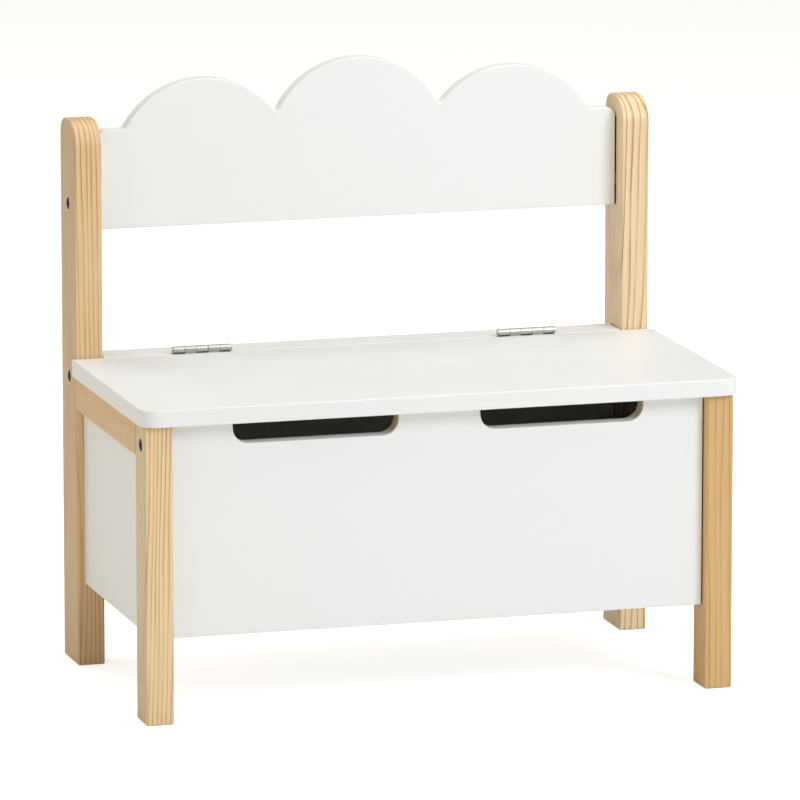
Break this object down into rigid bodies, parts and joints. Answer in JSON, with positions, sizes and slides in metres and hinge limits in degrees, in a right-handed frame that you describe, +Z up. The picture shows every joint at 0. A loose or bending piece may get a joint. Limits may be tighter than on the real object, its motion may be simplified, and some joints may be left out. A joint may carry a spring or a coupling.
{
  "type": "toy box bench",
  "caption": "Children's wooden toy box and bench: a hinged lid that is the seat, finger cut-outs under it, and a backrest topped with clouds.",
  "frame": {"origin": "on the floor, under the middle of the whole outline", "axes": "+X to the right seen from the front, +Y to the back, +Z up"},
  "size_m": [0.61, 0.341, 0.6028],
  "materials": {
    "pine": "clear satin lacquer over straight-grained natural pine",
    "white_paint": "white satin paint over fibreboard",
    "dowel_beech": "raw beech",
    "dark_steel": "black oxide steel",
    "zinc_steel": "zinc plated steel",
    "hinge_steel": "satin nickel plated steel",
    "buffer_rubber": "soft pale rubber"
  },
  "bodies": {
    "frame": {"back_panel": "white_paint", "back_panel_bolts": "dark_steel", "back_panel_cross_dowels": "zinc_steel", "backrest_bolts": "dark_steel", "backrest_cross_dowels": "zinc_steel", "backrest_panel": "white_paint", "bottom_cleat_front": "pine", "bottom_cleat_left": "pine", "bottom_cleat_rear": "pine", "bottom_cleat_right": "pine", "bottom_panel": "white_paint", "cleat_screws": "zinc_steel", "fixed_leaf_screws": "zinc_steel", "front_leg_left": "pine", "front_leg_right": "pine", "front_panel": "white_paint", "front_panel_bolts": "dark_steel", "front_panel_cross_dowels": "zinc_steel", "hinge_fixed_leaf_left": "hinge_steel", "hinge_fixed_leaf_right": "hinge_steel", "hinge_pin_left": "hinge_steel", "hinge_pin_right": "hinge_steel", "hinge_rail": "white_paint", "hinge_rail_screws": "zinc_steel", "lid_buffers": "buffer_rubber", "panel_dowels": "dowel_beech", "rail_dowels": "dowel_beech", "rear_post_left": "pine", "rear_post_right": "pine", "side_panel_dowels": "dowel_beech", "side_panel_left": "white_paint", "side_panel_right": "white_paint", "side_rail_left": "pine", "side_rail_right": "pine"},
    "lid": {"hinge_lid_leaf_left": "hinge_steel", "hinge_lid_leaf_right": "hinge_steel", "lid": "white_paint", "lid_leaf_screws": "zinc_steel"}
  },
  "joints": [
    {"name": "lid_hinge", "type": "hinge", "parent": "frame", "child": "lid", "pos_m": [0, 0.1119, 0.318], "axis": [-1, 0, 0], "range_deg": [0, 88]}
  ]
}
